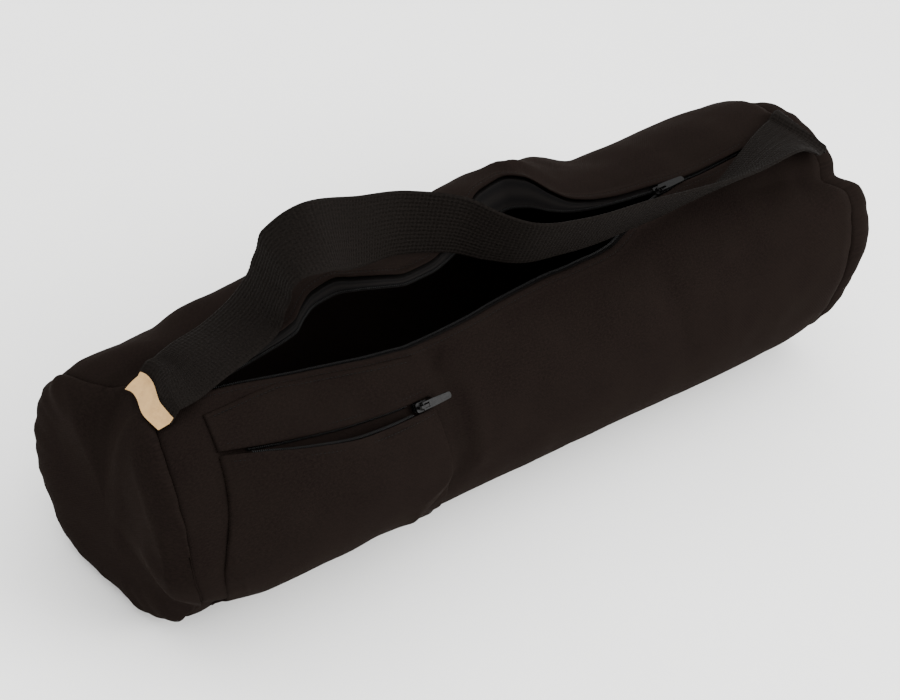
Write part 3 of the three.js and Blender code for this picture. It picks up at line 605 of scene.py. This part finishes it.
def body_shell():
    at = shell_columns()[:, None]
    front, back = slot_edges(at)
    even = np.linspace(0, 1, SHELL_RINGS)
    share = (even - 0.13 * np.sin(2 * math.pi * even) / (2 * math.pi) * 5)[None, :]
    angle = front - (360 - (back - front)) * share
    from_front = np.radians(front - angle) * TUBE_RADIUS
    from_back = np.radians(angle - (back - 360)) * TUBE_RADIUS
    points = tube_point(at, angle, shell_off(at, angle, from_front, from_back))
    cloth = np.stack([at * TUBE_LENGTH + 0 * angle, np.radians(angle) * TUBE_RADIUS], -1)
    piece = make_piece("shell", points, grid_faces(*angle.shape), cloth, CANVAS, ["body_shell"])
    weld(piece)
    thicken(piece, CLOTH)
    return piece


# Creases of an end panel, between places given as y from the axis and height: then height and reach
LEFT_CREASES = table(
    "y z to_y to_z high reach",
    (-6, 158, -18, 62, 0.9, 7), (40, 150, 62, 100, -1.0, 9), (-78, 60, -40, 40, -1.2, 8),
    (-84, 72, -62, 92, 1.2, 9), (-30, 148, -80, 112, 1.8, 8), (10, 60, 55, 40, 0.7, 9))
RIGHT_CREASES = table(
    "y z to_y to_z high reach",
    (-56, 152, -82, 118, 6, 16), (-50, 176, 52, 176, -9, 26), (-70, 70, -30, 50, 1.8, 9),
    (50, 90, 66, 50, -1.6, 8))
OVERHANG = 11  # of the left panel over its seam, low at the front
OVERHANG_ANGLE = 2
OVERHANG_SPREAD = 30


def end_panel(side, dome, name, node, lines):
    """An end panel: rings of points from its seam to its middle."""
    at = 0.5 * side
    angle = (np.linspace(0, 360, 200, endpoint=False) - 180)[None, :]
    inward = np.linspace(0, 1, 60)[:, None] ** 1.4
    rim = tube_point(at, angle, creases(np.full_like(angle, at), angle))
    middle = np.array([at * TUBE_LENGTH, AXIS_Y, (rim[0, :, 2].max() + rim[0, :, 2].min()) / 2])
    share = read(END_PROFILE, "share", inward)[..., None]
    points = middle + (rim - middle) * share
    stray = (rim[..., 0] - middle[0]) * np.minimum(share[..., 0], 1) ** 2
    out = SEAM_GAP + read(END_PROFILE, "out", inward) * dome
    flat = points.copy()
    edge_fade = smooth_fall((share[..., 0] - 0.86) / 0.14)
    for line in rows_of(lines):
        dy, dz = line["to_y"] - line["y"], line["to_z"] - line["z"]
        py, pz = flat[..., 1] - AXIS_Y - line["y"], flat[..., 2] - line["z"]
        t = np.clip((py * dy + pz * dz) / (dy * dy + dz * dz), 0, 1)
        away = np.hypot(py - t * dy, pz - t * dz)
        out = out + line["high"] * np.exp(-((away / line["reach"]) ** 2)) * (0.3 + 0.7 * edge_fade)
    out = out + 2.2 * cloth_noise(flat + side * 300, 55, 5.5) * (1 - share[..., 0] ** 6)
    ripple = cloth_noise(rim * (0.2, 1, 1), 13, 31.7) * smooth_fall((1 - share[..., 0]) / 0.4)
    out = out + 1.0 * ripple * (1 - smooth_fall(inward / 0.05))
    points[..., 0] = middle[0] + stray + side * out
    if side < 0:
        spread = np.exp(-((angle - OVERHANG_ANGLE) / OVERHANG_SPREAD) ** 2)
        fold = OVERHANG * spread * np.sin(math.pi * np.clip(inward / 0.26, 0, 1)) ** 1.5
        points[..., 0] += fold
        radial = (points - middle)[..., 1:]
        radial = radial / np.maximum(np.linalg.norm(radial, axis=-1, keepdims=True), 1e-6)
        points[..., 1:] += radial * (fold * 0.42)[..., None]
    points[..., 2] = np.maximum(points[..., 2], 0.3)
    cloth = np.stack([points[..., 1], points[..., 2]], -1)
    columns = angle.shape[1]
    faces = grid_faces(len(inward), columns, ring=True)
    if side < 0:
        faces = faces[:, ::-1]
    piece = make_piece(name, points, faces, cloth, CANVAS, [node])
    weld(piece)
    thicken(piece, CLOTH)
    return piece


# Strap and label

def round_top(at, y):
    """Height of the plain round bag's top at a place seen from above."""
    half_wide = read(SECTIONS, "wide", at) * TUBE_RADIUS
    half_tall = read(SECTIONS, "tall", at) * TUBE_RADIUS
    return half_tall * (1 - PRESSED + np.sqrt(1 - (y / half_wide) ** 2))


def strap_route(places):
    """Points of the strap's middle line at places counted in rows of its table."""
    y = STRAP["y"] * TUBE_RADIUS
    height = round_top(STRAP["at"], y) + LAY_GAP + STRAP_THICK / 2 + STRAP["over"] * TUBE_RADIUS
    rows = np.stack([STRAP["at"] * TUBE_LENGTH, y, height], -1)
    knots = np.concatenate([[2 * rows[0] - rows[1]], rows, [2 * rows[-1] - rows[-2]]])
    i = np.clip(np.floor(places).astype(int), 0, len(rows) - 2)
    t = (places - i)[:, None]
    p0, p1, p2, p3 = (knots[i + k] for k in range(4))
    spans = ((p0, p1), (p1, p2), (p2, p3))
    d0, d1, d2 = (np.linalg.norm(b - a, axis=-1, keepdims=True) ** 0.5 for a, b in spans)
    m1 = ((p1 - p0) / d0 - (p2 - p0) / (d0 + d1) + (p2 - p1) / d1) * d1
    m2 = ((p2 - p1) / d1 - (p3 - p1) / (d1 + d2) + (p3 - p2) / d2) * d1
    return (p1 * (1 + 2 * t) * (1 - t) ** 2 + m1 * t * (1 - t) ** 2
            + p2 * t * t * (3 - 2 * t) - m2 * t * t * (1 - t)) + (0, AXIS_Y, 0)


def strap_frames(step):
    """Points along the strap at even steps, the directions across it and out of its face, and its cup."""
    dense = np.linspace(0, len(STRAP["at"]) - 1, 4000)
    points = strap_route(dense)
    run = np.concatenate([[0], np.cumsum(np.linalg.norm(np.diff(points, axis=0), axis=1))])
    length = run[-1]
    even = np.linspace(0, length, int(length / step) + 1)
    places = np.interp(even, run, dense)
    points = strap_route(places)
    tangent = np.gradient(points, axis=0)
    tangent /= np.linalg.norm(tangent, axis=1, keepdims=True)
    level = np.cross((0, 0, 1), tangent)
    level /= np.linalg.norm(level, axis=1, keepdims=True)
    upright = np.cross(tangent, level)
    index = {"at": np.arange(len(STRAP["at"]), dtype=float), **{key: STRAP[key] for key in ("roll", "cup")}}
    roll = np.radians(read(index, "roll", places))[:, None]
    across = upright * np.cos(roll) + level * np.sin(roll)
    face = np.cross(tangent, across)
    return points, across, face, read(index, "cup", places), even


def strap():
    """The webbing: a closed band whose cross ribs are part of its shape."""
    points, across, face, cup, run = strap_frames(RIB_PITCH / 4)
    columns = 28
    w = -np.cos(np.linspace(0, math.pi, columns)) * 0.5
    w = (w * 0.35 + np.linspace(-0.5, 0.5, columns) * 0.65)[None, :] * STRAP_WIDTH
    rolled = np.where(face[:, 2] < 0, -1.0, 1.0)
    turning = np.convolve(rolled, np.ones(41) / 41, mode="same")
    drop = (cup * turning)[:, None] * w * w / (2 * TUBE_RADIUS)
    place = points[:, None, :] + across[:, None, :] * w[..., None]
    from_middle = np.abs(run - run[-1] / 2) / run[-1]
    slack = 1.6 * cloth_noise(place, 60, 12.5) * smooth_fall((from_middle - 0.3) / 0.1)[:, None]
    edge = np.clip((STRAP_WIDTH / 2 - np.abs(w)) / 1.6, 0, 1)
    half = (STRAP_THICK / 2 - RIB_HEIGHT / 2) * np.sqrt(1 - (1 - edge) ** 2)
    rib = RIB_HEIGHT * 0.5 * (1 + np.sin(2 * math.pi * run / RIB_PITCH))[:, None] * np.sqrt(edge)
    crossing = 0.75 + 0.25 * np.cos(2 * math.pi * w / STRAND_PITCH)
    top = place + face[:, None, :] * (slack - drop + half + rib * crossing)[..., None]
    under = place + face[:, None, :] * (slack - drop - half - rib * crossing)[..., None]
    loop = strayed(np.concatenate([top, under[:, ::-1]], axis=1))
    flat = np.concatenate([w, w[:, ::-1]], axis=1) + 0 * run[:, None]
    cloth = np.stack([run[:, None] + 0 * flat, flat], -1)
    rings, around = loop.shape[:2]
    faces = grid_faces(rings, around, ring=True)
    caps = [list(range(around)), [(rings - 1) * around + k for k in range(around)][::-1]]
    piece = make_piece("strap_webbing", loop, faces[:, ::-1], cloth, WEBBING, ["strap"])
    shape = bmesh.new()
    shape.from_mesh(piece.data)
    shape.verts.ensure_lookup_table()
    for cap in caps:
        shape.faces.new([shape.verts[k] for k in cap])
    bmesh.ops.recalc_face_normals(shape, faces=shape.faces)
    shape.to_mesh(piece.data)
    shape.free()
    return piece


def label():
    """The label over the strap's left end, bent with it and hanging over the end seam."""
    points, across, face, _, run = strap_frames(0.5)
    rows, columns = 22, 50
    down = np.linspace(0, 1, rows)
    past = down * LABEL_DEEP - LABEL_OVERLAP
    on = np.searchsorted(run, np.maximum(0, -past))
    w = np.linspace(-0.5, 0.5, columns)[None, :] * (LABEL_WIDTH * (1 - 0.07 * down**2))[:, None]
    hang = np.maximum(0, past)[:, None] * (1 - LABEL_SKEW * (0.5 - w / LABEL_WIDTH))
    curl = 1.5 * (down[:, None] ** 2) * (w / LABEL_WIDTH * 2) ** 2
    lift = STRAP_THICK / 2 + LAY_GAP + 0.2 - w * w / (2 * TUBE_RADIUS) - curl
    aside = across[on][:, None, :] * w[..., None]
    place = points[on][:, None, :] + aside + face[on][:, None, :] * lift[..., None]
    place[..., 0] -= hang
    place[..., 2] -= LABEL_LEAN * hang + 0.012 * hang**2
    place = strayed(place + 0.35 * cloth_noise(place, 9, 2.2)[..., None] * face[on][:, None, :])
    cloth = np.stack([w, past[:, None] + 0 * w], -1)
    piece = make_piece("label_cloth", place, grid_faces(rows, columns), cloth, LABEL_CLOTH,
                       ["label"])
    thicken(piece, LABEL_THICK)
    piece.modifiers["cloth"].offset = 1
    bevel = piece.modifiers.new("soft_edge", "BEVEL")
    bevel.width = 0.2 * MM
    bevel.segments = 2
    return piece


# Zips

def coil_angle(at, towards_back):
    """Angle of a coil's middle: out from the canvas's edge, or beside the other one where it closes."""
    front, back = slot_edges(at)
    middle = (front + back) / 2
    closed = arc_degrees((COIL_WIDTH + SEAM_GAP) / 2)
    if towards_back:
        return np.maximum(back - arc_degrees(COIL_STEP_OUT), middle + closed)
    return np.minimum(front + arc_degrees(COIL_STEP_OUT), middle - closed)


def tape(name, middle_line, sideways, width, node):
    """A flat zip tape, from the far side of its coil to its hidden edge."""
    across = np.array([-COIL_WIDTH / 2, -COIL_WIDTH / 4, 0.5, 2, 4, 0.6 * width, width])
    points = np.stack([middle_line(sideways * arc_degrees(step), -COIL_WIDTH / 4) for step in across], axis=1)
    run = np.concatenate([[0], np.cumsum(np.linalg.norm(np.diff(points[:, 2], axis=0), axis=1))])
    cloth = np.stack(np.meshgrid(run, across, indexing="ij"), -1)
    faces = grid_faces(*points.shape[:2])
    piece = make_piece(name, points, faces if sideways < 0 else faces[:, ::-1], cloth, TAPE_KNIT,
                       [node])
    thicken(piece, TAPE_THICK)
    return piece


def coil(name, line, inner, phase):
    """A nylon coil: one thread wound round a flat core along a line, given the same line a little deeper."""
    run = np.concatenate([[0], np.cumsum(np.linalg.norm(np.diff(line, axis=0), axis=1))])
    turns = int(run[-1] / COIL_PITCH)
    steps = 9
    even = np.linspace(0, run[-1], turns * steps + 1)
    core = np.stack([np.interp(even, run, line[:, k]) for k in range(3)], -1)
    deep = np.stack([np.interp(even, run, inner[:, k]) for k in range(3)], -1)
    tangent = np.gradient(core, axis=0)
    tangent /= np.linalg.norm(tangent, axis=1, keepdims=True)
    up = core - deep
    up -= tangent * np.sum(up * tangent, axis=1, keepdims=True)
    up /= np.linalg.norm(up, axis=1, keepdims=True)
    aside = np.cross(up, tangent)
    turn = 2 * math.pi * (even / COIL_PITCH + phase)
    outward = aside * np.cos(turn)[:, None] + up * np.sin(turn)[:, None]
    wide, high = COIL_WIDTH / 2 - COIL_WIRE, 0.75
    centre = core + aside * (wide * np.cos(turn))[:, None] + up * (high * np.sin(turn))[:, None]
    ahead = np.gradient(centre, axis=0)
    ahead /= np.linalg.norm(ahead, axis=1, keepdims=True)
    outward -= ahead * np.sum(outward * ahead, axis=1, keepdims=True)
    outward /= np.linalg.norm(outward, axis=1, keepdims=True)
    binormal = np.cross(ahead, outward)
    sides = 5
    spin = np.arange(sides) * 2 * math.pi / sides
    cosines = outward[:, None, :] * np.cos(spin)[None, :, None]
    ring = cosines + binormal[:, None, :] * np.sin(spin)[None, :, None]
    points = centre[:, None, :] + ring * COIL_WIRE
    cloth = np.stack([even[:, None] + 0 * spin, 0 * even[:, None] + spin], -1)
    faces = grid_faces(len(even), sides, ring=True)[:, ::-1]
    return make_piece(name, points, faces, cloth, NYLON)


def main_zip(towards_back, name, node):
    """One side of the main zip: its tape and its coil."""
    at = np.linspace(SLOT_FROM + 0.004, SLOT_TO - 0.004, 420)
    sideways = 1 if towards_back else -1
    angle = coil_angle(at, towards_back)
    tape(name + "_tape", lambda shift, off: tube_point(at, angle + shift, -TAPE_DEPTH + off), sideways,
         TAPE_WIDTH, node)
    line = tube_point(at, angle, -TAPE_DEPTH)
    coil(name + "_coil", line, tube_point(at, angle, -TAPE_DEPTH - 1), 0.5 if towards_back else 0.0)


# Pocket

def pocket_point(across, angle, off):
    """A place in the pocket: share across it and angle, so far off the bag."""
    left = read(POCKET_SIDES, "left", angle)
    right = read(POCKET_SIDES, "right", angle)
    at = left + (right - left) * across
    return tube_point(at, angle, off + 0.8 * creases(at, angle))


def pocket_bulge(across, angle):
    """How far the pocket's front stands off the bag: nothing at its sewn edges, most at the mouth."""
    top = read(MOUTH, "lower", across)
    down = np.clip((top - angle) / (top - POCKET_FOOT), 0, 1)
    return POCKET_DEEP * np.sin(math.pi * across) ** 0.7 * (1 - down * down) ** 1.5


def edge_roll(distance, reach=2.2, deep=1.3):
    """Fall of a patch as its edge turns under at a seam."""
    t = np.clip(1 - distance / reach, 0, 1)
    return -deep * (1 - np.sqrt(1 - t * t))


PANEL_ACROSS = 130
POCKET_WIDTH = 174  # across the pocket, for the distances of its seams


def panel_shares():
    even = np.linspace(0, 1, PANEL_ACROSS)
    return np.clip(even - 0.1 * np.sin(2 * math.pi * even) / (2 * math.pi) * 4, 0, 1)


def pocket_panel():
    across = panel_shares()[:, None]
    top = read(MOUTH, "lower", across)
    down = np.linspace(0, 1, 84)[None, :] ** 1.15
    angle = top + (POCKET_FOOT - top) * down
    from_side = np.minimum(across, 1 - across) * POCKET_WIDTH
    from_lip = np.radians(top - angle) * TUBE_RADIUS
    from_foot = np.radians(angle - POCKET_FOOT) * TUBE_RADIUS
    place = np.stack([across * POCKET_WIDTH + 0 * angle, np.radians(angle) * TUBE_RADIUS + 0 * across,
                      0 * (angle + across)], -1)
    pucker = cloth_noise(place * (0.3, 1, 1), 10, 44.4) * np.exp(-from_side / 9) * 1.1
    sag = 1.2 * cloth_noise(place, 48, 15.8) * (1 - np.exp(-from_side / 15))
    off = PATCH_GAP + pocket_bulge(across, angle) + PATCH_CLOTH + pucker + sag
    off = off + edge_roll(from_side) + edge_roll(from_foot) + 0.8 * hem(from_lip)
    points = pocket_point(across, angle, off)
    faces = grid_faces(*angle.shape)
    piece = make_piece("pocket_front", points, faces, place[..., :2], CANVAS, ["pocket_panel"])
    thicken(piece, PATCH_CLOTH)
    return piece


def strip_angles(across):
    """Angles of the strip's upper edge and of its lip."""
    lip = read(MOUTH, "upper", across)
    left, right = read(POCKET_SIDES, "left", lip), read(POCKET_SIDES, "right", lip)
    front, _ = slot_edges(left + (right - left) * across)
    return np.minimum(STRIP_TOP, front - STRIP_MARGIN), lip


def strip_lift(across, down):
    return STRIP_LIFT * np.sin(math.pi * across) ** 0.4 * down * down


def pocket_strip():
    across = panel_shares()[:, None]
    top, lip = strip_angles(across)
    down = np.linspace(0, 1, 26)[None, :]
    angle = top + (lip - top) * down
    from_side = np.minimum(across, 1 - across) * POCKET_WIDTH
    from_top = np.radians(top - angle) * TUBE_RADIUS
    from_lip = np.radians(angle - lip) * TUBE_RADIUS
    place = np.stack([across * POCKET_WIDTH + 0 * angle, np.radians(angle) * TUBE_RADIUS, 0 * angle], -1)
    sag = 0.7 * cloth_noise(place * (0.6, 1, 1), 18, 50.8) * (1 - np.exp(-from_side / 8))
    off = PATCH_GAP + strip_lift(across, down) + PATCH_CLOTH + sag
    off = off + edge_roll(from_side) + edge_roll(from_top, 1.5) + 0.6 * hem(from_lip)
    groove = -0.5 * np.exp(-((from_top - 4) / 0.9) ** 2)
    points = pocket_point(across, angle, off + groove)
    piece = make_piece("pocket_strip_cloth", points, grid_faces(*angle.shape), place[..., :2], CANVAS,
                       ["pocket_strip"])
    thicken(piece, PATCH_CLOTH)
    return piece


def pocket_zip(upper, name, node):
    """One side of the pocket's zip, along a lip of the mouth and behind its canvas."""
    across = np.linspace(TAPE_FROM, TAPE_TO, 150)
    edge = read(MOUTH, "upper" if upper else "lower", across)
    sideways = 1 if upper else -1
    behind = PATCH_GAP - SEAM_GAP - COIL_WIDTH / 2
    off = LAY_GAP + COIL_WIDTH / 2 if upper else behind + pocket_bulge(across, edge)
    angle = edge - sideways * arc_degrees(POCKET_STEP_OUT)
    tape(name + "_tape", lambda shift, up: pocket_point(across, angle + shift, off + up), sideways,
         POCKET_TAPE, node)
    line = pocket_point(across, angle, off)
    coil(name + "_coil", line, pocket_point(across, angle, off - 1), 0.0)


# Stitches

def stitches(name, line, inner, pitch=STITCH_PITCH, length=STITCH_LENGTH, thick=THREAD):
    """A line of stitches: short threads that dip into the cloth at both ends."""
    run = np.concatenate([[0], np.cumsum(np.linalg.norm(np.diff(line, axis=0), axis=1))])
    starts = np.arange(pitch / 2, run[-1] - length, pitch)
    rings, sides = 6, 6
    share = np.linspace(0, 1, rings)
    place = (starts[:, None] + share[None, :] * length).ravel()
    core = np.stack([np.interp(place, run, line[:, k]) for k in range(3)], -1)
    deep = np.stack([np.interp(place, run, inner[:, k]) for k in range(3)], -1)
    up = (core - deep) / np.linalg.norm(core - deep, axis=1, keepdims=True)
    ahead = np.stack([np.interp(place + 0.2, run, line[:, k]) for k in range(3)], -1) - core
    ahead /= np.linalg.norm(ahead, axis=1, keepdims=True)
    aside = np.cross(up, ahead)
    arch = np.tile(np.sin(math.pi * share), len(starts))
    fat = thick * (0.45 + 0.55 * arch ** 0.5)
    core = core + up * (thick * (1.6 * arch - 1.1))[:, None]
    spin = np.arange(sides) * 2 * math.pi / sides
    ring = aside[:, None, :] * np.cos(spin)[None, :, None] + up[:, None, :] * np.sin(spin)[None, :, None]
    points = core[:, None, :] + ring * fat[:, None, None]
    one = np.concatenate([grid_faces(rings, sides, ring=True)])
    faces = np.concatenate([one + k * rings * sides for k in range(len(starts))])
    cloth = np.stack([place[:, None] + 0 * spin, 0 * place[:, None] + spin * thick], -1)
    return make_piece(name, points, faces, cloth, SEWING_THREAD)


def edge_stitches():
    """Lines of stitches along both edges of the main zip's slot."""
    for name, towards_back in (("front_edge_stitches", False), ("back_edge_stitches", True)):
        at = np.linspace(SLOT_FROM + 0.01, SLOT_TO - 0.01, 700)
        front, back = slot_edges(at)
        in_from_edge = arc_degrees(HEM_WIDTH - 2)
        angle = back + in_from_edge if towards_back else front - in_from_edge
        distance = np.full_like(at, HEM_WIDTH - 2)
        off = shell_off(at, angle, distance, distance)
        stitches(name, tube_point(at, angle, off), tube_point(at, angle, off - 1))


def pocket_stitches():
    """Stitches along the pocket's lip and the strip's two long edges."""
    across = np.linspace(0.03, 0.97, 400)
    in_from_edge = arc_degrees(HEM_WIDTH - 2)
    angle = read(MOUTH, "lower", across) - in_from_edge
    off = PATCH_GAP + pocket_bulge(across, angle) + PATCH_CLOTH - 0.1
    stitches("lip_stitches", pocket_point(across, angle, off), pocket_point(across, angle, off - 1))
    top, lip = strip_angles(across)
    for name, angle in (("strip_top_stitches", top - arc_degrees(4)),
                        ("strip_lip_stitches", lip + in_from_edge)):
        down = (top - angle) / (top - lip)
        off = PATCH_GAP + strip_lift(across, down) + PATCH_CLOTH - 0.2
        stitches(name, pocket_point(across, angle, off), pocket_point(across, angle, off - 1))


# Sliders

def dress_hard_parts():
    """The CAD's sliders and pulls keep their shape and get their enamel and softened edges."""
    for name in ("zip_slider", "zip_pull", "pocket_slider", "pocket_pull"):
        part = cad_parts[name]
        part.data.materials.clear()
        part.data.materials.append(ENAMEL)
        bevel = part.modifiers.new("cast_edges", "BEVEL")
        bevel.width = 0.25 * MM
        bevel.segments = 2
        bevel.limit_method = "ANGLE"


# Stage

CAMERA_AZIMUTH = -48.225  # 0 looks along +Y
CAMERA_ELEVATION = 40
CAMERA_ROLL = 13.254
CAMERA_DISTANCE = 1.72817
CAMERA_TARGET = Vector((-0.0193, AXIS_Y * MM, 0.09347))
FOCAL_PIXELS = 2333.47
IMAGE_WIDTH = 900


def stage():
    """A pale floor, soft studio light and the camera."""
    bpy.ops.mesh.primitive_plane_add(size=12, location=(0, 0, -0.0004))
    floor = bpy.context.object
    floor.name = "floor"
    floor.data.materials.append(floor_material())

    azimuth, elevation = math.radians(CAMERA_AZIMUTH), math.radians(CAMERA_ELEVATION)
    back = Vector((math.sin(azimuth) * math.cos(elevation), -math.cos(azimuth) * math.cos(elevation),
                   math.sin(elevation)))
    right = (-back).cross(Vector((0, 0, 1))).normalized()
    turn = Matrix((right, back.cross(right), back)).transposed()
    lens = bpy.data.cameras.new("camera")
    lens.sensor_width = 36
    lens.lens = FOCAL_PIXELS * lens.sensor_width / IMAGE_WIDTH
    camera = bpy.data.objects.new("camera", lens)
    rolled = turn @ Matrix.Rotation(math.radians(CAMERA_ROLL), 3, "Z")
    camera.matrix_world = Matrix.Translation(CAMERA_TARGET + back * CAMERA_DISTANCE) @ rolled.to_4x4()
    bpy.context.collection.objects.link(camera)
    bpy.context.scene.camera = camera

    for name, place, size, power in (
            ("key_light", (1.0, -1.7, 1.5), 1.4, 60), ("fill_light", (-0.5, 1.4, 1.9), 2.0, 12),
            ("top_light", (0.6, -0.4, 2.4), 1.8, 10)):
        light = bpy.data.lights.new(name, "AREA")
        light.size = size
        light.energy = power
        lamp = bpy.data.objects.new(name, light)
        lamp.location = place
        lamp.rotation_euler = (CAMERA_TARGET - Vector(place)).to_track_quat("-Z", "Y").to_euler()
        bpy.context.collection.objects.link(lamp)

    world = bpy.data.worlds.new("studio")
    world.use_nodes = True
    world.node_tree.nodes["Background"].inputs["Color"].default_value = (1, 1, 1, 1)
    world.node_tree.nodes["Background"].inputs["Strength"].default_value = 2.3
    bpy.context.scene.world = world


stage()
body_shell()
end_panel(-1, LEFT_DOME, "left_end", "end_left", LEFT_CREASES)
end_panel(1, RIGHT_DOME, "right_end", "end_right", RIGHT_CREASES)
strap()
label()
main_zip(False, "front_zip", "zip_tape_front")
main_zip(True, "back_zip", "zip_tape_back")
pocket_panel()
pocket_strip()
pocket_zip(True, "upper_pocket_zip", "pocket_tape_upper")
pocket_zip(False, "lower_pocket_zip", "pocket_tape_lower")
edge_stitches()
pocket_stitches()
dress_hard_parts()
